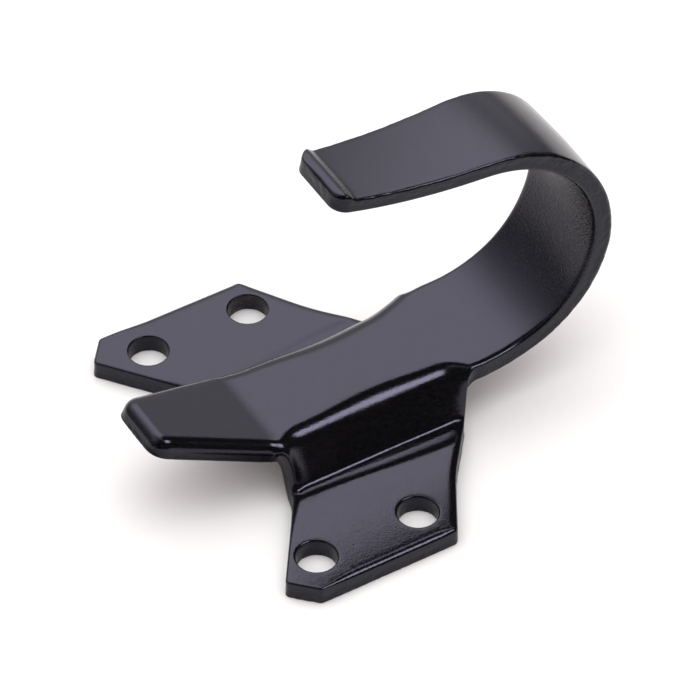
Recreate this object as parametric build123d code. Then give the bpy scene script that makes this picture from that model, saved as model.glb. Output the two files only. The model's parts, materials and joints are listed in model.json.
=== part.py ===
from build123d import *
import os
from math import cos, radians, sin, tan

# Pressed-steel hook plate: one heavy blank, sheared, punched and formed in one piece.
# Frame: X runs along the strip towards the big hook, Y across the two wings, Z up and
# away from the mounting surface.  Z = 0 is the underside of both wings, and the origin
# is the centre of the four-hole pattern.  The plate is the same on both sides of Y = 0.

# ---- driving dimensions, millimetres and degrees ----
thickness = 5.0
hook_thickness = 4.7
hole_diameter = 10.0
hole_pitch_x = 28.0
hole_pitch_y = 80.0
width_over_wings = 100.0

# cross-section of the raised channel
channel_top = 17.0
channel_flat_half = 9.0
ridge_radius = 6.0
fold_radius = 1.5
wall_angle = 62.0
channel_start_x = -8.0

# wing outline seen from above, for the +Y side
wing_front_x = 18.0
wing_front_middle = (28.0, 33.3)
wing_root_x = 37.6
wing_rear_x = -20.0
wing_rear_corner = (-25.6, 43.5)
wing_rear_root_y = 19.0

# strip, hook and the leg above it
strip_half = 15.0
hook_centre_x = 51.0
hook_radius = 28.2
hook_top_half = 12.1
hook_taper_middle = (13.8, 19.0)
leg_radius = 175.0
leg_sweep = 13.8
leg_tip_half = 9.6
leg_tip_thickness = 4.0
leg_corner_radius = 4.0
lip_height = 1.0
lip_length = 2.8

# tail, bent up behind the channel
tail_bend_x = -9.0
tail_angle = 22.0
tail_length = 31.6
tail_flat_from = 9.0
tail_root_half = 13.0
tail_tip_half = 9.2
tail_corner_radius = 4.5

# Where the walls run out, the section changes from rounded ridges to a flat strip.
# Each row: share of the run, half width of the flat, ridge radius, ridge angle, straight
# wall below the ridge, and how far the sheared edge leans from square to the sheet.
shortest_wall = 0.3
neck_run_out = [
    (0.0, 9.0, 6.0, 62.0, 9.0, 0.0),
    (0.25, 8.6, 7.0, 60.0, 4.5, 0.0),
    (0.38, 7.8, 8.5, 54.0, 1.5, 20.0),
    (0.5, 7.2, 13.0, 36.0, shortest_wall, 36.0),
    (0.65, 7.2, 20.0, 23.0, shortest_wall, 23.0),
    (0.8, 7.5, 30.0, 14.0, shortest_wall, 14.0),
]
tail_run_out = [(9.0, 6.0, 48.0), (9.2, 8.0, 34.0)]
tail_bend_run = 1.5

# ---- derived dimensions ----
wing_half = width_over_wings / 2
rise = channel_top - thickness


def half_tangent(angle):
    """Distance from a bend's corner to the start of its arc, for a radius of one."""
    return tan(radians(angle / 2))


wall_foot = rise / tan(radians(wall_angle))
fold_corner_y = channel_flat_half + ridge_radius * half_tangent(wall_angle) + wall_foot
fold_end_y = fold_corner_y + fold_radius * half_tangent(wall_angle)


def straight_wall(radius, angle):
    """Straight length between ridge and fold on a wall that comes down to a wing."""
    rounded = (radius + fold_radius) * (1 - cos(radians(angle)))
    return (rise - rounded) / sin(radians(angle))


def across(x):
    """Section plane square to the channel, with its origin on the top face."""
    return Plane(origin=(x, 0, channel_top), x_dir=(0, 1, 0), z_dir=(1, 0, 0))


def across_tail(distance):
    """Section plane square to the tail, this far from its bend, origin on the top face."""
    a = radians(tail_angle)
    origin = (tail_bend_x - distance * cos(a), 0, channel_top + distance * sin(a))
    return Plane(origin=origin, x_dir=(0, 1, 0), z_dir=(cos(a), 0, -sin(a)))


def sheet_section(plane, flat_half, radius, angle, wall, lean=0.0, reach=0.0):
    """Section of the sheet: flat top, two rounded ridges and two straight walls.

    With a reach the walls fold out into level wings that wide.  Without one they stop at
    the sheared edge, which leans from square to the sheet by the given angle.
    """
    a = radians(angle)
    along = Vector(cos(a), -sin(a))
    inward = Vector(-sin(a), -cos(a)) * thickness
    crest = Vector(flat_half, 0)
    under = Vector(flat_half, -thickness)
    arc_end = crest + Vector(sin(a), cos(a) - 1) * radius
    wall_end = arc_end + along * wall
    crest_mid = crest + Vector(sin(a / 2), cos(a / 2) - 1) * radius
    under_mid = under + Vector(sin(a / 2), cos(a / 2) - 1) * (radius - thickness)
    half = [(crest, crest_mid, arc_end), (arc_end, wall_end)]
    low_end = wall_end + inward + along * thickness * tan(radians(lean))
    if reach:
        foot = wall_end + Vector(sin(a), cos(a) - 1) * fold_radius
        foot_mid = foot + Vector(-sin(a / 2), 1 - cos(a / 2)) * fold_radius
        heel = foot - Vector(0, thickness)
        heel_mid = heel + Vector(-sin(a / 2), 1 - cos(a / 2)) * (fold_radius + thickness)
        tip_top = Vector(reach, foot.Y)
        tip_low = Vector(reach, heel.Y)
        half += [(wall_end, foot_mid, foot), (foot, tip_top), (tip_top, tip_low)]
        half += [(tip_low, heel), (heel, heel_mid, low_end)]
    else:
        half += [(wall_end, low_end)]
    half += [(low_end, arc_end + inward), (arc_end + inward, under_mid, under)]
    edges = [Line((-flat_half, z), (flat_half, z)) for z in (0, -thickness)]
    for side in (1, -1):
        for points in half:
            spots = [(side * p.X, p.Y) for p in points]
            edges.append(ThreePointArc(*spots) if len(spots) == 3 else Line(*spots))
    return plane * make_face(edges)


def flat_section(plane, flat_half, half_width, depth):
    """Flat section, divided at the same places as the rounded ones."""
    shoulder = half_width - shortest_wall
    corner = [(flat_half, 0), (shoulder, 0), (half_width, 0)]
    corner += [(half_width, -depth), (shoulder, -depth), (flat_half, -depth)]
    edges = [Line((-flat_half, z), (flat_half, z)) for z in (0, -depth)]
    for side in (1, -1):
        spots = [(side * y, z) for y, z in corner]
        edges += [Line(start, end) for start, end in zip(spots, spots[1:])]
    return plane * make_face(edges)


def wing_outline():
    """Outline of both wings from above, closed across the channel."""
    root = (wing_root_x, fold_end_y)
    front = (wing_front_x, wing_half)
    rear = (wing_rear_x, wing_half)
    rear_root = (channel_start_x, wing_rear_root_y)
    half = [
        Line((wing_root_x, 0), root),
        ThreePointArc(root, wing_front_middle, front),
        Line(front, rear),
        Line(rear, wing_rear_corner),
        Line(wing_rear_corner, rear_root),
        Line(rear_root, (channel_start_x, 0)),
    ]
    return make_face(half + [edge.mirror(Plane.XZ) for edge in half])


def saddle():
    """Raised channel with its walls and the two wings, before the holes are punched."""
    wall = straight_wall(ridge_radius, wall_angle)
    shape = (channel_flat_half, ridge_radius, wall_angle, wall)
    end = sheet_section(across(channel_start_x), *shape, reach=wing_half)
    channel = extrude(end, wing_root_x - channel_start_x, dir=(1, 0, 0))
    plate_length = channel_start_x - wing_rear_corner[0]
    plate = Box(plate_length, width_over_wings, thickness, align=(Align.MAX, Align.CENTER, Align.MIN))
    plates = Pos(channel_start_x, 0, 0) * plate
    return (channel + plates) & extrude(wing_outline(), channel_top)


def neck():
    """Strip from the channel to the hook, where the walls and ridges run out."""
    run = hook_centre_x - wing_root_x
    sections = [sheet_section(across(wing_root_x + share * run), *shape) for share, *shape in neck_run_out]
    sections.append(flat_section(across(hook_centre_x), channel_flat_half, strip_half, hook_thickness))
    return loft(sections, ruled=True)


def hook_profile():
    """Side view of the round hook and of the leg that runs back over the channel."""
    middle = Vector(hook_centre_x, channel_top + hook_radius)
    inner_top = middle + Vector(0, hook_radius)
    outer_top = inner_top + Vector(0, hook_thickness)
    leg_centre = inner_top + Vector(0, leg_radius)
    outer_leg = leg_radius - hook_thickness
    thinning = hook_thickness - leg_tip_thickness

    def leg_point(radius, share):
        a = radians(leg_sweep) * share
        return leg_centre + Vector(-sin(a), -cos(a)) * radius

    def underside(share):
        return leg_point(leg_radius - thinning * share**2, share)

    lip_foot = leg_point(outer_leg, 1 - lip_length / (outer_leg * radians(leg_sweep)))
    lip_crest = leg_point(outer_leg - lip_height, 1)
    inner_tip = underside(1)
    inner_start = middle - Vector(0, hook_radius)
    outer_start = inner_start - Vector(0, hook_thickness)
    side_reach = Vector(hook_radius + hook_thickness, 0)
    edges = [
        Line(inner_start, outer_start),
        ThreePointArc(inner_start, middle + Vector(hook_radius, 0), inner_top),
        ThreePointArc(outer_start, middle + side_reach, outer_top),
        ThreePointArc(inner_top, underside(0.5), inner_tip),
        ThreePointArc(outer_top, leg_point(outer_leg, 0.5), lip_foot),
        Line(lip_foot, lip_crest),
        Line(lip_crest, inner_tip),
    ]
    return make_face(edges)


def hook():
    """Round hook and its leg, narrowing from the strip's width to the tip."""
    band = extrude(Plane.XZ * hook_profile(), strip_half, both=True)
    box = band.bounding_box()

    # seen from the front, the strip narrows over the upper half of the hook
    widest = channel_top + hook_radius
    narrowest = widest + hook_radius
    middle = (hook_taper_middle[0], widest + hook_taper_middle[1])
    front = [
        Line((0, 0), (strip_half, 0)),
        Line((strip_half, 0), (strip_half, widest)),
        ThreePointArc((strip_half, widest), middle, (hook_top_half, narrowest)),
        Line((hook_top_half, narrowest), (hook_top_half, box.max.Z)),
        Line((hook_top_half, box.max.Z), (0, box.max.Z)),
    ]
    front += [edge.mirror(Plane.YZ) for edge in front]
    front_shape = extrude(Plane.YZ * make_face(front), box.max.X)

    # seen from above, the leg tapers to its tip, where both corners are rounded
    side = [
        (box.max.X, strip_half),
        (hook_centre_x, strip_half),
        (hook_centre_x, hook_top_half),
        (box.min.X, leg_tip_half),
    ]
    other_side = [(x, -y) for x, y in reversed(side)]
    plan = make_face(Polyline(*side, *other_side, close=True))
    tip_corners = plan.vertices().sort_by(Axis.X)[:2]
    plan = fillet(tip_corners, leg_corner_radius)
    return band & front_shape & extrude(plan, box.max.Z)


def tail():
    """Tapered tail that bends up behind the channel and ends square."""
    planes = [across(channel_start_x), across_tail(tail_bend_run)]
    sections = [
        sheet_section(plane, flat_half, radius, angle, shortest_wall, lean=angle)
        for plane, (flat_half, radius, angle) in zip(planes, tail_run_out)
    ]
    flat_from = across_tail(tail_flat_from)
    sections.append(flat_section(flat_from, channel_flat_half, tail_root_half, thickness))
    root = loft(sections, ruled=True)
    run = tail_length - tail_flat_from
    spots = [(0, tail_root_half), (run, tail_tip_half), (run, -tail_tip_half), (0, -tail_root_half)]
    outline = make_face(Polyline(*spots, close=True))
    tip_corners = outline.vertices().sort_by(Axis.X)[-2:]
    outline = fillet(tip_corners, tail_corner_radius)
    face_up = Plane(origin=flat_from.origin, x_dir=-flat_from.z_dir, z_dir=flat_from.y_dir)
    return root + extrude(face_up * outline, -thickness)


def holes():
    """Four punched bolt holes, one near each corner of the wings."""
    spots = GridLocations(hole_pitch_x, hole_pitch_y, 2, 2)
    drill = Cylinder(hole_diameter / 2, thickness, align=(Align.CENTER, Align.CENTER, Align.MIN))
    return spots * drill


def hook_plate():
    """The whole pressed plate as one solid."""
    return saddle() + neck() + hook() + tail() - holes()


os.makedirs("parts", exist_ok=True)
export_step(hook_plate(), "parts/hook_plate.step")
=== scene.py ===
"""Pressed-steel hook plate in semi-gloss black paint, on a plain white studio floor.

The plate is one sheet.  Its blank is laid out flat, s along the strip and y across it, and
every point of the blank is then carried onto the formed shape.  Sheet sizes are in
millimetres, as in the CAD; the mesh is scaled to metres when it is made.
"""
import json
from math import cos, pi, radians, sin, tan

import bpy
import numpy as np
from mathutils import Matrix, Vector
from mathutils.geometry import delaunay_2d_cdt


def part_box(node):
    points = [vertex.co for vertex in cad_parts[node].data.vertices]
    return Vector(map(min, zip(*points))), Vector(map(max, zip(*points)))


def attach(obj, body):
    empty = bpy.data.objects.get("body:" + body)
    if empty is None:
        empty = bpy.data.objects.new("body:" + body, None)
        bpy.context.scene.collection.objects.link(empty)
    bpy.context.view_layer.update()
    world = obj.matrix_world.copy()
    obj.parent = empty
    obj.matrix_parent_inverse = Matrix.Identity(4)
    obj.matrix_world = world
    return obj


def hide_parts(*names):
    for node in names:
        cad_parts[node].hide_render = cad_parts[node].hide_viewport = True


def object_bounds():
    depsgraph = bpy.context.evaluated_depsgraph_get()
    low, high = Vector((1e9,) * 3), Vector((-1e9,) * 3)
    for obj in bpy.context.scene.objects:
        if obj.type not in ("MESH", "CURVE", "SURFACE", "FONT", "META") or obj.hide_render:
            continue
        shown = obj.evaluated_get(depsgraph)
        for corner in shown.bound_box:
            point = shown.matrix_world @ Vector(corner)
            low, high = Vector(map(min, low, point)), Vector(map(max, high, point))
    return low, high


MM = 0.001
SEED = 20
LATTICE = 32
BATCH = 200
PAINT, SHEARED, BORE = range(3)

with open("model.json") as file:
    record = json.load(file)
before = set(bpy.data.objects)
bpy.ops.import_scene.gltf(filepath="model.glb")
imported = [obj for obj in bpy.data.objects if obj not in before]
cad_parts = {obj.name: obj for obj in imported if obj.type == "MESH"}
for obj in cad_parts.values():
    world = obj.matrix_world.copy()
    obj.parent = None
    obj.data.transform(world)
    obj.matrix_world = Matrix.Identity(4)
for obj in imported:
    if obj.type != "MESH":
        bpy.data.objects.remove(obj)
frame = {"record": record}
cad_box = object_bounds()

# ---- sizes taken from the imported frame, in millimetres ----
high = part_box("hook_plate")[1] / MM
bolt_dims = next(m["dims"] for m in frame["record"]["mounts"] if m["name"] == "bolt_holes")
hole_x = bolt_dims["spacing_x_mm"] / 2
hole_y = bolt_dims["spacing_y_mm"] / 2
hole_radius = bolt_dims["hole_r_mm"]
torn_room = 0.18  # left for the torn edge, so that it stays inside the CAD's box
wing_half = high.y - torn_room

# ---- the sheet and its forms ----
thickness = 5.0
hook_thickness = 4.7
leg_thinning = 0.7
channel_top = 17.0
wing_top = thickness
fold_radius = 1.5

# the channel's ridges are rounder halfway along than at its ends: (at the ends, change halfway)
ridge_middle = 19.0
ridge_reach = 13.0
flat_half = (9.5, -2.05)
ridge_radius = (5.4, 2.1)
wall_angle = (62.0, -4.0)

# at both ends of the channel its level top flares out to the strip's full width, as a power
# of the distance in runs: (near side, far side)
neck_from = (36.2, 32.0)
neck_run = (8.6, 12.0)
neck_flare = (5.4, 3.2)
neck_power = (2.2, 1.5)
tail_from = -2.2
tail_run = 5.5
tail_flare = (2.2, 0.8)
most_runs = 2
# the flare stops within this band across the sheet
flare_stop = (16.2, 19.4)
# past the tail end of the channel its ridge grows ever rounder: (near side, far side)
fade_from = (-5.5, -7.5)
fade_to = (-12.0, -18.5)
fade_least = 1e-4

# each wing dips a little beside the fold: (at the tail end, at the hook end)
dip_depth = (0.16, 0.36)
dip_centre = (21.8, 24.3)
dip_half = (0.8, 1.6)
# it changes from one to the other along this stretch, and starts beyond the fold
dip_along = (-8, 34)
dip_start = 19.2
dip_full = 20.7
dip_widening = 1.1

# outside this band the sheet is wing, and takes no part in the strip's bends
wing_band = (15.2, 17.5)
wing_tail_stop = -7.0

# the direction through the sheet: step it is measured over, the stretch of the channel where
# it doesn't lean along the strip, and how far it stands up across it at the channel's ends
normal_step = 0.7
upright_tail = (-9.5, -6.5)
upright_neck = (46.5, 50.0)
tail_upright = 0.7
tail_end_band = (-1.0, -6.0)
neck_upright = 0.9
neck_end_band = (37.0, 41.5)
wall_foot = (19.5, 22.0)

# ---- the strip along its length ----
hook_radius = 28.2
wave_room = 0.02
hook_start = high.x - wave_room - hook_radius - hook_thickness
hook_end = hook_start + pi * hook_radius
leg_radius = 175.0
leg_angle = radians(13.8)
leg_end = hook_end + leg_radius * leg_angle
tail_bend = -9.0
tail_bend_length = 4.5
tail_angle = radians(22)
tail_end = -40.42
# each bend's curvature comes in and goes out over these lengths
tail_ease = 4
hook_ease = 6
leg_ease = 10

# ---- the blank's outline: (s, y, corner radius) on the +y side, from leg tip to tail tip ----
wing_corner = 18.0
blank_half = [
    (leg_end, 9.6, 4.0),
    (hook_end, 12.2, 90.0),
    (hook_start + 66.0, 13.9, 70.0),
    (hook_start + 42.0, 15.0, 60.0),
    (57.0, 15.1, 60.0),
    (47.5, 15.9, 14.0),
    (43.0, 15.6, 6.0),
    (28.0, 33.3, 60.0),
    (wing_corner, wing_half, 1.3),
    (-19.5, wing_half, 1.3),
    (-25.6, 43.5, 1.3),
    (-8.2, 19.1, 5.0),
    (-8.0, 14.8, 3.2),
    (tail_end, 8.9, 4.5),
]
# where the +y side differs from the -y side: (place in the list, corner)
far_corners = {
    5: (47.5, 15.1, 14.0),
    6: (43.3, 14.8, 7.0),
    9: (-21.2, wing_half, 1.3),
    10: (-26.6, 43.3, 1.3),
}
# the near wing slants towards the hook and the far one towards the tail, by this much of
# the distance across, from this band on
wing_skew = 0.022
skew_from = (14, 30)

# ---- how closely the mesh follows the blank ----
arc_step = 0.1
outline_step = 0.45
border_gap = 0.7
grid_step = 0.9
bore_points = 90
roll_rows = 7
shear_rows = 9
corner_rows = 5
# rows along the sheet, closest together over ridges and folds: (from, to, step) across it
row_bands = (
    (0, 8.5, 1.0),
    (8.6, 14.4, 0.36),
    (14.5, 18.3, 0.4),
    (18.4, 20.3, 0.14),
    (20.8, 26.0, 0.5),
    (26.5, wing_half, 1.0),
)
strip_half = 15
wings_from = -26
wings_to = 46

# ---- the rounding that shearing leaves on the top edge: (width, depth) ----
roll_plain = (1.6, 0.8)
# what each stretch of the outline adds to it
roll_changes = {
    "tail": (1.0, 2.2),
    "wing": (-0.8, -0.35),
    "front": (1.3, 0.45),
    "outer": (0.0, 0.4),
    "wall": (-1.2, -0.5),
}
# its width at the wings' front corners, and how fast it may grow away from them
roll_at_corner = 1.1
roll_growth = 0.35
# round the holes: its width at the (near, far) pair, and depth as a share of that
bore_roll = (0.65, 0.4)
bore_roll_depth = 0.7

# ---- the torn lower part of the sheared edge, with (share, size, seed) of its grains ----
fracture_from = 0.55
fracture_flare = 0.1
fracture_rough = 0.13
fracture_grains = ((0.6, 0.9, 3), (0.4, 2.6, 4))

# ---- the corner at the underside, larger and beaded where the hook is bent ----
corner_flat = 0.25
corner_bent = 0.95
corner_lean = 0.6
flat_inset = 0.3
corner_vary = 0.22
corner_grain = (2.2, 5)
bent_from = (hook_start + 8, hook_start + 40)
far_side = (0, 6)
far_less_bent = 0.6
bead_height = 0.11
bead_grain = (0.8, 6)
leg_from = (hook_end - 8, hook_end + 8)
leg_fewer_beads = 0.75

# ---- how the sheet's faces leave the plain form ----
hook_thins_from = 40
outer_crown = 0.3
crown_from = (hook_start + 25, hook_start + 60)
inner_dish = 0.5
dish_from = (hook_start + 15, hook_start + 35)
dish_to = (hook_end + 5, hook_end - 15)
crown_half = 12
lip_height = 1.25
lip_length = 5.4
lip_crest = 2.2
lip_at_tip = 0.6
waves = ((0.02, 11.0, 1), (0.004, 4.0, 2))
# the waves leave out the wings' underside, which is flat on the floor
wing_underside = (17.0, 21.0)


def smooth(start, end, x):
    """0 before start, 1 after end, with an even ease between them."""
    t = np.clip((x - start) / (end - start), 0, 1)
    return t * t * (3 - 2 * t)


def step_at(x, place, width):
    """0 before the place and 1 after it, eased over this width."""
    return smooth(place - width / 2, place + width / 2, x)


# ---------------------------------------------------------------- the formed surface
curve_s = np.arange(-50.0, 195.0, 0.1)


def running_sum(steps):
    """Totals so far, starting at 0."""
    return np.concatenate([[0], np.cumsum(steps)])


def strip_curve():
    """Heading of the strip's top face at each curve_s, and the (x, z) it passes through."""
    half = tail_bend_length / 2
    tail = step_at(curve_s, tail_bend - half, tail_ease)
    tail = tail - step_at(curve_s, tail_bend + half, tail_ease)
    leg = step_at(curve_s, hook_end, leg_ease)
    hook = step_at(curve_s, hook_start, hook_ease) - leg
    curvature = tail * tail_angle / tail_bend_length + hook / hook_radius - leg / leg_radius
    step = np.diff(curve_s)
    heading = running_sum((curvature[1:] + curvature[:-1]) / 2 * step)
    heading -= np.interp(0, curve_s, heading)
    middle = (heading[1:] + heading[:-1]) / 2
    x = running_sum(np.cos(middle) * step)
    z = running_sum(np.sin(middle) * step)
    x -= np.interp(0, curve_s, x)
    z -= np.interp(0, curve_s, z) - channel_top
    return heading, x, z


curve_heading, curve_x, curve_z = strip_curve()


def either(far, pair):
    """The second of a pair of values on the far (+y) side, the first elsewhere."""
    return np.where(far, pair[1], pair[0])


def cross_drop(s, y):
    """How far the top face lies below the channel's crown, at y across the sheet."""
    u = np.abs(y)
    middle = np.exp(-(((s - ridge_middle) / ridge_reach) ** 2))
    pairs = (flat_half, ridge_radius, wall_angle)
    flat, radius, angle = (ends + change * middle for ends, change in pairs)
    angle = np.radians(angle)
    far = y > 0
    neck = np.clip((s - either(far, neck_from)) / either(far, neck_run), 0, most_runs)
    tail = np.clip((tail_from - s) / tail_run, 0, most_runs)
    flared = either(far, neck_flare) * neck ** either(far, neck_power)
    flared = flared + either(far, tail_flare) * tail**2
    flared = flared * (1 - smooth(*flare_stop, u))
    fade = 1 - smooth(either(far, fade_from), either(far, fade_to), s)
    radius = radius / np.maximum(fade, fade_least)
    run = np.clip(u - flared - flat, 0, None)
    arc_run = radius * np.sin(angle)
    arc = radius - np.sqrt(np.maximum(radius**2 - np.minimum(run, arc_run) ** 2, 0))
    wall = arc + np.clip(run - arc_run, 0, None) * np.tan(angle)
    full = channel_top - wing_top
    fold_from = full - fold_radius * (1 - np.cos(angle))
    arc_depth = radius * (1 - np.cos(angle))
    fold_start = arc_run + np.clip(fold_from - arc_depth, 0, None) / np.tan(angle)
    to_end = np.clip(fold_start + fold_radius * np.sin(angle) - run, 0, fold_radius)
    fold = full - fold_radius + np.sqrt(fold_radius**2 - to_end**2)
    return np.where(run > fold_start, fold, np.minimum(wall, full))


def wing_dip(s, u):
    """How far each wing's top dips beside the fold."""
    share = smooth(*dip_along, s)
    depth, centre, half = (a + (b - a) * share for a, b in (dip_depth, dip_centre, dip_half))
    outer = 1 - smooth(centre - half, centre + half, u)
    return depth * outer * smooth(dip_start, dip_full + dip_widening * share, u)


def top_face(s, y):
    """Point of the formed top face above each (s, y) of the blank."""
    u = np.abs(y)
    drop = cross_drop(s, y)
    heading = np.interp(s, curve_s, curve_heading)
    along = np.interp(s, curve_s, curve_x) + np.sin(heading) * drop
    up = np.interp(s, curve_s, curve_z) - np.cos(heading) * drop
    level = smooth(*wing_band, u) * (s < hook_start)
    wing = channel_top - cross_drop(np.maximum(s, wing_tail_stop), y)
    return np.stack([along + (s - along) * level, y, up + (wing - up) * level], axis=-1)


def face_normal(s, y):
    """Direction through the sheet: its normal, leaning less where the channel's ends turn
    sharply, so that the sheared edge stays full there."""
    along = top_face(s + normal_step, y) - top_face(s - normal_step, y)
    across = top_face(s, y + normal_step) - top_face(s, y - normal_step)
    normal = np.cross(along, across)
    normal[..., 0] *= 1 - smooth(*upright_tail, s) * (1 - smooth(*upright_neck, s))
    at_tail = tail_upright * smooth(*tail_end_band, s)
    at_neck = neck_upright * smooth(*neck_end_band, s)
    beyond_wall = smooth(*wall_foot, np.abs(y))
    normal[..., 1] *= 1 - np.maximum(at_tail, at_neck) * (1 - beyond_wall)
    return normal / np.linalg.norm(normal, axis=-1, keepdims=True)


def grain(points, size, seed):
    """Smooth random values from -1 to 1 over space, with features of about this size."""
    lattice = np.random.default_rng(SEED + seed).uniform(-1, 1, (LATTICE, LATTICE, LATTICE))
    cell = points / size
    base = np.floor(cell).astype(int)
    part = cell - base
    part = part * part * (3 - 2 * part)
    total = 0
    for corner in np.ndindex(2, 2, 2):
        weight = np.prod(np.where(corner, part, 1 - part), axis=-1)
        total = total + weight * lattice[tuple(((base + corner) % LATTICE).T)]
    return total


def formed(s, y, depth):
    """Points of the plate: blank place (s, y), and depth below the top face."""
    full = thickness - (thickness - hook_thickness) * smooth(hook_thins_from, hook_start, s)
    share = np.clip((s - hook_end) / (leg_end - hook_end), 0, 1)
    thin = leg_thinning * share**2
    to_tip = leg_end - s
    lip = lip_height * smooth(lip_length, lip_crest, to_tip)
    lip = lip * (lip_at_tip + (1 - lip_at_tip) * smooth(0, lip_crest, to_tip))
    crown = outer_crown * (y / crown_half) ** 2 * smooth(*crown_from, s)
    below = thin + depth * (full - thin) + (lip - crown) * depth**2
    below = below + wing_dip(s, np.abs(y)) * (1 - depth)
    bend = smooth(*dish_from, s) * smooth(*dish_to, s)
    below = below - inner_dish * (y / crown_half) ** 2 * bend * (1 - depth) ** 2
    top = top_face(s, y)
    normal = face_normal(s, y)
    wave = sum(height * grain(top, size, seed) for height, size, seed in waves)
    wave = wave * (1 - depth * smooth(*wing_underside, np.abs(y)))
    return top + normal * (wave - below)[..., None]


# ---------------------------------------------------------------- the blank
def rounded(corners):
    """Closed outline through filleted corners, as evenly spaced points."""
    path = []
    count = len(corners)
    for i, (s, y, radius) in enumerate(corners):
        here = np.array([s, y])
        before = np.array(corners[i - 1][:2]) - here
        after = np.array(corners[(i + 1) % count][:2]) - here
        before /= np.linalg.norm(before)
        after /= np.linalg.norm(after)
        inside = np.arccos(np.clip(before @ after, -1, 1))
        reach = radius / tan(inside / 2)
        middle = (before + after) / np.linalg.norm(before + after)
        centre = here + middle * radius / sin(inside / 2)
        turn = pi - inside
        start = here + before * reach - centre
        side = np.sign(start[1] * before[0] - start[0] * before[1])
        for share in np.linspace(0, 1, 3 + int(turn * radius / arc_step)):
            a = side * turn * share
            swing = np.array([[cos(a), -sin(a)], [sin(a), cos(a)]])
            path.append(centre + swing @ start)
    path = np.array(path)
    closed = np.vstack([path, path[:1]])
    length = running_sum(np.linalg.norm(np.diff(closed, axis=0), axis=1))
    places = np.linspace(0, length[-1], int(length[-1] / outline_step), endpoint=False)
    return np.stack([np.interp(places, length, closed[:, k]) for k in (0, 1)], axis=1)


def circle(centre_s, centre_y, radius):
    """A hole's edge, clockwise, so that the sheet lies to its left."""
    a = -np.linspace(0, 2 * pi, bore_points, endpoint=False)
    return np.stack([centre_s + radius * np.cos(a), centre_y + radius * np.sin(a)], axis=1)


def inward(loop):
    """Unit normals of a loop that point into the sheet, on its left."""
    along = np.roll(loop, -1, axis=0) - np.roll(loop, 1, axis=0)
    along /= np.linalg.norm(along, axis=1, keepdims=True)
    return np.stack([-along[:, 1], along[:, 0]], axis=1)


def edge_roll(loop):
    """Width and depth of the rounding that shearing leaves on the top edge."""
    s, y = loop.T
    u = np.abs(y)
    wing = smooth(16.5, 21, u)
    front = wing * smooth(-19, -8, s)
    outer = smooth(wing_half - 1.2, wing_half - 0.2, u) * front
    wall = smooth(20.5, 18.5, u) * (smooth(35, 38, s) - smooth(42.5, 44.5, s))
    tail = smooth(-4.5, -9, s) * (1 - wing)
    stretches = {"tail": tail, "wing": wing, "front": front, "outer": outer, "wall": wall}
    width, depth = (
        sum((change[k] * stretches[name] for name, change in roll_changes.items()), roll_plain[k])
        for k in (0, 1)
    )
    from_corner = np.hypot(s - wing_corner, u - wing_half)
    width = np.minimum(width, roll_at_corner + roll_growth * from_corner)
    return width, depth


def blank_loops():
    """(loop, width, depth, is a hole) for the outline and for each punched hole."""
    far = [far_corners.get(i, corner) for i, corner in enumerate(blank_half)]
    outline = far + [(s, -y, r) for s, y, r in reversed(blank_half)]
    loop = rounded(outline)
    loop[:, 0] -= wing_skew * loop[:, 1] * smooth(*skew_from, np.abs(loop[:, 1]))
    loops = [(loop, *edge_roll(loop), False)]
    for y in (-hole_y, hole_y):
        for s in (-hole_x, hole_x):
            ring = circle(s, y, hole_radius)
            width = np.full(bore_points, bore_roll[0] if y < 0 else bore_roll[1])
            loops.append((ring, width, width * bore_roll_depth, True))
    return loops


def inside_of(points, loops):
    """True for points inside the outline and outside the holes."""
    odd = np.zeros(len(points), bool)
    x, y = points.T
    for loop in loops:
        for a, b in zip(loop, np.roll(loop, -1, axis=0)):
            if a[1] != b[1]:
                line_x = (b[0] - a[0]) * (y - a[1]) / (b[1] - a[1]) + a[0]
                odd ^= ((a[1] > y) != (b[1] > y)) & (x < line_x)
    return odd


def grid_points(rings):
    """Points inside the sheet, closest together over the ridges, walls and folds."""
    half = np.concatenate([np.arange(*band) for band in row_bands])
    across = np.concatenate([-half[:0:-1], half])
    middle = np.arange(wings_from, wings_to, grid_step)
    tail = np.arange(tail_end, wings_from, grid_step)
    hook = np.arange(wings_to, leg_end, grid_step)
    even = np.arange(-strip_half, strip_half + 0.1, grid_step)
    fields = ((middle, across), (np.concatenate([tail, hook]), even))
    points = np.concatenate([
        np.stack(np.meshgrid(along, over), axis=-1).reshape(-1, 2) for along, over in fields
    ])
    points = points[inside_of(points, rings)]
    border = np.concatenate(rings)
    gap = np.full(len(points), np.inf)
    for start in range(0, len(border), BATCH):
        part = border[start:start + BATCH]
        gap = np.minimum(gap, np.linalg.norm(points[:, None] - part[None], axis=2).min(axis=1))
    return points[gap > outline_step * border_gap]


def sheet_faces(rings, points):
    """Triangles over the sheet inside the rings, as indices into rings then points."""
    spots = np.concatenate([*rings, points])
    edges = []
    start = 0
    for ring in rings:
        ids = range(start, start + len(ring))
        edges += list(zip(ids, [*ids[1:], start]))
        start += len(ring)
    _, _, faces, origin, _, _ = delaunay_2d_cdt([Vector(p) for p in spots], edges, [], 0, 1e-5)
    faces = np.array([[origin[v][0] for v in face] for face in faces])
    return faces[inside_of(spots[faces].mean(axis=1), rings)]


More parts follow.
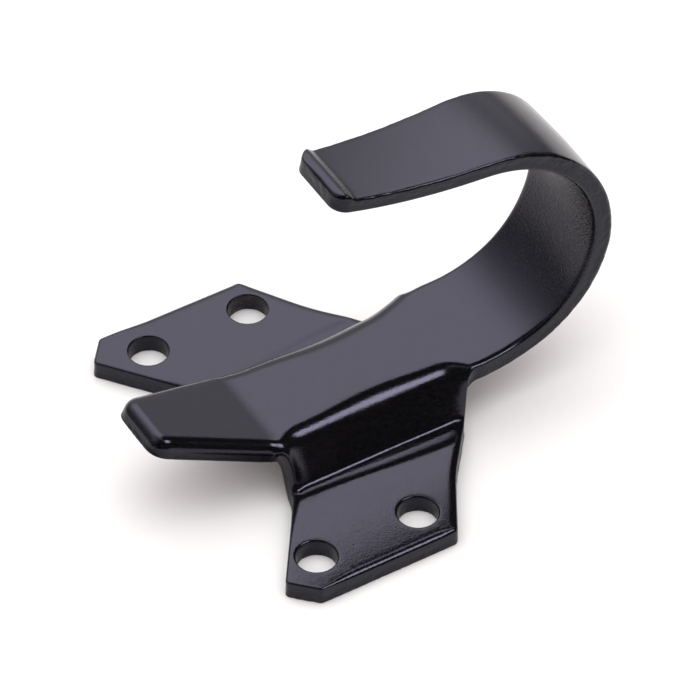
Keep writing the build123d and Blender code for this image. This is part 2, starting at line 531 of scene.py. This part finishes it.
def edge_rows(loop, width, depth, hole):
    """Blank places and depths of the rows that go round an edge, from top face to underside."""
    normal = inward(loop)
    none = np.zeros(len(loop))
    rows = []
    for a in np.linspace(pi / 2, 0, roll_rows):
        rows.append((width * (1 - cos(a)), depth * (1 - sin(a)) / thickness))
    edge = np.column_stack([loop, none])
    bent = none if hole else smooth(*bent_from, loop[:, 0])
    bent = bent * (1 - far_less_bent * smooth(*far_side, loop[:, 1]))
    corner = corner_flat + (corner_bent - corner_flat) * bent
    corner = corner * (1 + corner_vary * grain(edge, *corner_grain))
    for share in np.linspace(0, 1, shear_rows + 1)[1:]:
        below = depth + (thickness - depth - corner) * share
        at = np.column_stack([loop, below])
        torn = smooth(fracture_from - 0.1, 1.0, share) * fracture_flare
        if share > fracture_from:
            rough = sum(part * grain(at, size, seed) for part, size, seed in fracture_grains)
            torn = torn + fracture_rough * rough
        rows.append((none - torn, below / thickness))
    leg = smooth(*leg_from, loop[:, 0])
    beads = bead_height * bent**2 * (1 - leg_fewer_beads * leg) * grain(edge, *bead_grain)
    for a in np.linspace(0, pi / 2, corner_rows + 1)[1:]:
        inset = corner_lean * corner * (1 - cos(a)) + (beads - torn) * cos(a)
        rows.append((inset, 1 - corner * (1 - sin(a)) / thickness))
    rows.append((np.maximum(width, corner + flat_inset), none + 1))
    return [(loop + normal * inset[:, None], depths) for inset, depths in rows]


def pressed_hook():
    """The whole plate as one mesh, with paint, sheared-edge and bore faces marked."""
    loops = blank_loops()
    rings = [loop + inward(loop) * width[:, None] for loop, width, _, _ in loops]
    points = grid_points(rings)
    triangles = sheet_faces(rings, points)
    ring_total = sum(map(len, rings))
    places, depths, faces, kinds = [], [], [], []
    total = 0

    def add(spots, depth):
        nonlocal total
        places.append(spots)
        depths.append(np.broadcast_to(depth, len(spots)))
        total += len(spots)
        return total - len(spots)

    top_ids = np.zeros(ring_total + len(points), int)
    low_ids = np.zeros(ring_total + len(points), int)
    done = 0
    for loop, width, depth, hole in loops:
        rows = edge_rows(loop, width, depth, hole)
        starts = [add(*row) for row in rows]
        count = len(loop)
        ids = np.arange(count)
        top_ids[done:done + count] = starts[0] + ids
        low_ids[done:done + count] = starts[-1] + ids
        done += count
        following = np.roll(ids, -1)
        for k, (a, b) in enumerate(zip(starts, starts[1:])):
            faces += np.column_stack([a + ids, b + ids, b + following, a + following]).tolist()
            sheared = roll_rows - 1 <= k < roll_rows - 1 + shear_rows
            kinds += [(BORE if hole else SHEARED) if sheared else PAINT] * count
    top_ids[ring_total:] = add(points, 0.0) + np.arange(len(points))
    low_ids[ring_total:] = add(points, 1.0) + np.arange(len(points))
    faces += top_ids[triangles].tolist() + low_ids[triangles[:, ::-1]].tolist()
    kinds += [PAINT] * (2 * len(triangles))
    spots = np.concatenate(places)
    vertices = formed(*spots.T, np.concatenate(depths)) * MM
    mesh = bpy.data.meshes.new("pressed_hook")
    mesh.from_pydata(vertices.tolist(), [], faces)
    mesh.polygons.foreach_set("material_index", kinds)
    mesh.shade_smooth()
    mesh.validate()
    mesh.update()
    piece = bpy.data.objects.new("pressed_hook", mesh)
    bpy.context.scene.collection.objects.link(piece)
    return piece


# ---------------------------------------------------------------- materials
MICRON = 1e-6
PAINT_IOR = 1.45
PAINT_TINT = (0.8, 0.77, 1.0, 1)
EDGE_TINT = (0.76, 0.77, 1.0, 1)
EDGE_SPECULAR = 0.37
BORE_SPECULAR = 0.34
# brown shows where x and y are both past this band, in metres: in one hole only
WORN_FROM = (0.0, 0.004)
# the duller paint is where the distance from the bend's centre is no more than the hook's
# radius and this band in mm, and past this band in metres from where the bend starts
DULL_PAST = (1.5, 0.8)
DULL_FROM = (0.01, 0.02)
DULL_ROUGHNESS = 0.14
# the part of a noise's range that is stretched over a material's values
BROAD = (0.3, 0.7)
MIDDLE = (0.35, 0.65)


def add_node(tree, kind, inputs=None, **settings):
    """A shader node, with its settings, and its inputs as numbers, colours or sockets."""
    node = tree.nodes.new(kind)
    for name, value in settings.items():
        setattr(node, name, value)
    for name, value in (inputs or {}).items():
        if isinstance(value, bpy.types.NodeSocket):
            tree.links.new(value, node.inputs[name])
        else:
            node.inputs[name].default_value = value
    return node


def noise(tree, place, scale, detail=3.0, rough=0.5):
    return add_node(tree, "ShaderNodeTexNoise", {
        "Vector": place, "Scale": scale, "Detail": detail, "Roughness": rough,
    }).outputs["Fac"]


def remap(tree, value, old, new):
    return add_node(tree, "ShaderNodeMapRange", {
        "Value": value, "From Min": old[0], "From Max": old[1], "To Min": new[0], "To Max": new[1],
    }).outputs["Result"]


def mixed(tree, share, first, second):
    """A blend of two colours."""
    inputs = {0: share, 6: first, 7: second}
    return add_node(tree, "ShaderNodeMix", inputs, data_type="RGBA").outputs[2]


def calc(tree, operation, first, second=0.0, third=0.0):
    """One step of arithmetic on up to three numbers or sockets."""
    inputs = {0: first, 1: second, 2: third}
    return add_node(tree, "ShaderNodeMath", inputs, operation=operation).outputs[0]


def eased(tree, value, start, end):
    """0 at start, 1 at end, with an even ease between them."""
    inputs = {"Value": value, "From Min": start, "From Max": end}
    node = add_node(tree, "ShaderNodeMapRange", inputs, interpolation_type="SMOOTHSTEP")
    return node.outputs["Result"]


def span(tree, x, x_edges, y, y_edges):
    """1 inside a soft-edged rectangle, 0 outside: edges are (start, full, last, end)."""
    sides = []
    for value, (start, full, last, end) in ((x, x_edges), (y, y_edges)):
        sides += [eased(tree, value, start, full), eased(tree, value, end, last)]
    product = sides[0]
    for side in sides[1:]:
        product = calc(tree, "MULTIPLY", product, side)
    return product


def relief(tree, layers):
    """Bump layers stacked one on another, each (height, distance in metres)."""
    normal = None
    for height, distance in layers:
        inputs = {"Height": height, "Distance": distance, "Strength": 1.0}
        if normal:
            inputs["Normal"] = normal
        normal = add_node(tree, "ShaderNodeBump", inputs).outputs["Normal"]
    return normal


def new_material(name):
    """A material with its node tree, its shader, and the plate's own coordinates."""
    material = bpy.data.materials.new(name)
    material.use_nodes = True
    tree = material.node_tree
    shader = tree.nodes["Principled BSDF"]
    place = add_node(tree, "ShaderNodeTexCoord").outputs["Object"]
    return material, tree, shader, place


def hook_inside(tree, place):
    """1 on the inner face of the hook's bend, 0 elsewhere, from the plate's own coordinates."""
    spot = add_node(tree, "ShaderNodeSeparateXYZ", {0: place}).outputs
    along = calc(tree, "SUBTRACT", spot["X"], hook_start * MM)
    up = calc(tree, "SUBTRACT", spot["Z"], (channel_top + hook_radius) * MM)
    squares = calc(tree, "MULTIPLY_ADD", along, along, calc(tree, "MULTIPLY", up, up))
    edge = [(hook_radius + past) * MM for past in DULL_PAST]
    inner = eased(tree, calc(tree, "SQRT", squares), *edge)
    return calc(tree, "MULTIPLY", inner, eased(tree, along, *DULL_FROM))


def finish_paint(tree, shader, colour, rough, layers):
    """Links a paint's colour, roughness and relief to its shader."""
    tree.links.new(colour, shader.inputs["Base Color"])
    tree.links.new(rough, shader.inputs["Roughness"])
    tree.links.new(relief(tree, layers), shader.inputs["Normal"])


def black_paint():
    """Semi-gloss black paint with a fine orange peel, duller and grittier inside the hook."""
    material, tree, shader, place = new_material("black_paint")
    shader.inputs["IOR"].default_value = PAINT_IOR
    shader.inputs["Specular Tint"].default_value = PAINT_TINT
    speck = remap(tree, noise(tree, place, 1900.0, 2.0), MIDDLE, (0.0, 1.0))
    colour = mixed(tree, speck, (0.001, 0.001, 0.0012, 1), (0.0065, 0.006, 0.0072, 1))
    dull = hook_inside(tree, place)
    fine = remap(tree, noise(tree, place, 1500.0, 2.0), BROAD, (-0.03, 0.03))
    broad = remap(tree, noise(tree, place, 180.0), BROAD, (0.1, 0.15))
    rough = calc(tree, "MULTIPLY_ADD", dull, DULL_ROUGHNESS, calc(tree, "ADD", broad, fine))
    peel = noise(tree, place, 2500.0, 2.0)
    grit = calc(tree, "MULTIPLY", noise(tree, place, 2300.0, 2.0), dull)
    swell = noise(tree, place, 700.0, 1.0)
    layers = [(swell, 12 * MICRON), (peel, 32 * MICRON), (grit, 120 * MICRON)]
    finish_paint(tree, shader, colour, rough, layers)
    return material


def sheared_edge():
    """The same paint over the torn edge of the sheet: duller and coarser."""
    material, tree, shader, place = new_material("painted_sheared_edge")
    shader.inputs["Specular IOR Level"].default_value = EDGE_SPECULAR
    shader.inputs["IOR"].default_value = PAINT_IOR
    shader.inputs["Specular Tint"].default_value = EDGE_TINT
    cloud = noise(tree, place, 300.0)
    colour = mixed(tree, cloud, (0.002, 0.002, 0.0025, 1), (0.005, 0.0048, 0.0058, 1))
    rough = remap(tree, cloud, BROAD, (0.28, 0.42))
    tear = noise(tree, place, 900.0, 4.0, 0.6)
    finish_paint(tree, shader, colour, rough, [(tear, 120 * MICRON)])
    return material


def punched_bore():
    """Thin paint inside the punched holes, with a little brown showing through in one."""
    material, tree, shader, place = new_material("punched_bore")
    shader.inputs["Specular IOR Level"].default_value = BORE_SPECULAR
    shader.inputs["IOR"].default_value = PAINT_IOR
    shader.inputs["Specular Tint"].default_value = PAINT_TINT
    patch = remap(tree, noise(tree, place, 420.0), (0.48, 0.6), (0.0, 1.0))
    spot = add_node(tree, "ShaderNodeSeparateXYZ", {0: place}).outputs
    quarter = (eased(tree, spot[axis], *WORN_FROM) for axis in "XY")
    worn = calc(tree, "MULTIPLY", *quarter)
    bare = mixed(tree, worn, (0.007, 0.006, 0.0065, 1), (0.05, 0.028, 0.017, 1))
    colour = mixed(tree, patch, (0.003, 0.003, 0.004, 1), bare)
    rough = remap(tree, patch, (0.0, 1.0), (0.26, 0.42))
    tear = noise(tree, place, 1100.0, 4.0)
    finish_paint(tree, shader, colour, rough, [(tear, 60 * MICRON)])
    return material


# ---------------------------------------------------------------- studio
FLOOR_HALF = 3.0
FLOOR_GAP = 0.05 * MM
# light seen in reflections, by the height, side and depth of the direction it comes from
LOW_GLOW = 0.45
WALL_GLOW = 0.47
WALL_HEIGHTS = (0.0, 0.25)
HIGH_GLOW = 2.45
HIGH_HEIGHTS = (0.34, 0.78)
RIGHT_END = (1.75, 1.25)
LEFT_END = (-1.05, 0.2)
LEFT_LEAST = 0.32
BACK_FROM = (-0.3, 0.2)
FRONT_GLOW = 9.5
FRONT_ACROSS = (0.05, 0.25, 0.65, 0.85)
FRONT_BEHIND = (-0.98, -0.8, -0.41, -0.26)
ROOM_LEAST = 0.04
ROOM_TINT = (0.93, 0.93, 0.99)
# soft sky that lights the floor, from level to straight above, brighter towards the back
SKY_LEVEL = (0.42, 0.31, 0.25, 1)
SKY_TOP = (1.57, 1.55, 1.57, 1)
SKY_LEAN = 0.3
# the camera's direction in degrees, its place along right, up and back in mm, and its lens
AZIMUTH = -31.03
ELEVATION = 44.95
CAMERA_PLACE = (16.49, 22.75, 1446.6)
LENS = 308.6


def studio_floor():
    """A wide, plain white floor just under the wings."""
    corners = [(-1, -1), (1, -1), (1, 1), (-1, 1)]
    height = cad_box[0].z - FLOOR_GAP
    mesh = bpy.data.meshes.new("floor")
    spots = [(x * FLOOR_HALF, y * FLOOR_HALF, height) for x, y in corners]
    mesh.from_pydata(spots, [], [(0, 1, 2, 3)])
    floor = bpy.data.objects.new("floor", mesh)
    bpy.context.scene.collection.objects.link(floor)
    material, tree, shader, _ = new_material("white_floor")
    shader.inputs["Base Color"].default_value = (0.9, 0.9, 0.9, 1)
    shader.inputs["Roughness"].default_value = 0.9
    shader.inputs["Specular IOR Level"].default_value = 0.1
    mesh.materials.append(material)


def studio_world():
    """Reflections show a dim room with a broad soft light behind the plate and a smaller one
    in front; the floor is lit by a soft sky; the camera sees plain white."""
    world = bpy.data.worlds.new("studio")
    world.use_nodes = True
    world.cycles.sampling_method = "NONE"
    tree = world.node_tree
    tree.nodes.clear()
    direction = add_node(tree, "ShaderNodeTexCoord").outputs["Generated"]
    level = add_node(tree, "ShaderNodeSeparateXYZ", {0: direction})
    across, behind, height = (level.outputs[axis] for axis in "XYZ")
    aside = calc(tree, "DIVIDE", across, calc(tree, "MAXIMUM", behind, 0.05))
    back = calc(tree, "MULTIPLY_ADD", eased(tree, height, *WALL_HEIGHTS), WALL_GLOW, LOW_GLOW)
    back = calc(tree, "MULTIPLY_ADD", eased(tree, height, *HIGH_HEIGHTS), HIGH_GLOW, back)
    right = eased(tree, aside, *RIGHT_END)
    left = eased(tree, aside, *LEFT_END)
    left = calc(tree, "MULTIPLY_ADD", left, 1 - LEFT_LEAST, LEFT_LEAST)
    for share in (right, left, eased(tree, behind, *BACK_FROM)):
        back = calc(tree, "MULTIPLY", back, share)
    over = calc(tree, "MAXIMUM", height, 0.02)
    x = calc(tree, "DIVIDE", across, over)
    y = calc(tree, "DIVIDE", behind, over)
    front = span(tree, x, FRONT_ACROSS, y, FRONT_BEHIND)
    total = calc(tree, "MULTIPLY_ADD", front, FRONT_GLOW, back)
    total = calc(tree, "ADD", total, ROOM_LEAST)
    colour = add_node(
        tree, "ShaderNodeVectorMath", {0: ROOM_TINT, "Scale": total}, operation="SCALE"
    ).outputs[0]
    sky = mixed(tree, height, SKY_LEVEL, SKY_TOP)
    lean = calc(tree, "MULTIPLY_ADD", behind, SKY_LEAN, 1.0)
    room, tent, white = (
        add_node(tree, "ShaderNodeBackground", {"Color": hue, "Strength": strength}).outputs[0]
        for hue, strength in ((colour, 1.0), (sky, lean), ((1, 1, 1, 1), 1.0))
    )
    rays = add_node(tree, "ShaderNodeLightPath").outputs
    shader = tent
    for ray, seen in (("Is Glossy Ray", room), ("Is Camera Ray", white)):
        inputs = {0: rays[ray], 1: shader, 2: seen}
        shader = add_node(tree, "ShaderNodeMixShader", inputs).outputs[0]
    add_node(tree, "ShaderNodeOutputWorld", {"Surface": shader})
    bpy.context.scene.world = world


def overhead_light():
    """Broad light straight above for the floor and its soft shadow, unseen in reflections."""
    lamp = bpy.data.lights.new("overhead", "AREA")
    lamp.shape = "DISK"
    lamp.size = 1.1
    lamp.energy = 3.0
    lamp.color = (1.0, 0.985, 0.975)
    light = bpy.data.objects.new("overhead", lamp)
    light.location = (0.1, 0.0, 1.0)
    light.visible_glossy = False
    bpy.context.scene.collection.objects.link(light)


def camera():
    """Long lens, looking down from beyond the tail and the near wing."""
    azimuth, elevation = radians(AZIMUTH), radians(ELEVATION)
    back = Vector((sin(azimuth) * cos(elevation), -cos(azimuth) * cos(elevation), sin(elevation)))
    right = Vector((cos(azimuth), sin(azimuth), 0))
    up = back.cross(right)
    data = bpy.data.cameras.new("camera")
    data.lens = LENS
    eye = bpy.data.objects.new("camera", data)
    turn = Matrix((right, up, back)).transposed()
    eye.matrix_world = Matrix.Translation(turn @ Vector(CAMERA_PLACE) * MM) @ turn.to_4x4()
    bpy.context.scene.collection.objects.link(eye)
    bpy.context.scene.camera = eye


plate = pressed_hook()
for material in (black_paint(), sheared_edge(), punched_bore()):
    plate.data.materials.append(material)
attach(plate, "root")
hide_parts("hook_plate")

studio_floor()
studio_world()
overhead_light()
camera()
bpy.context.scene.view_settings.view_transform = "Standard"
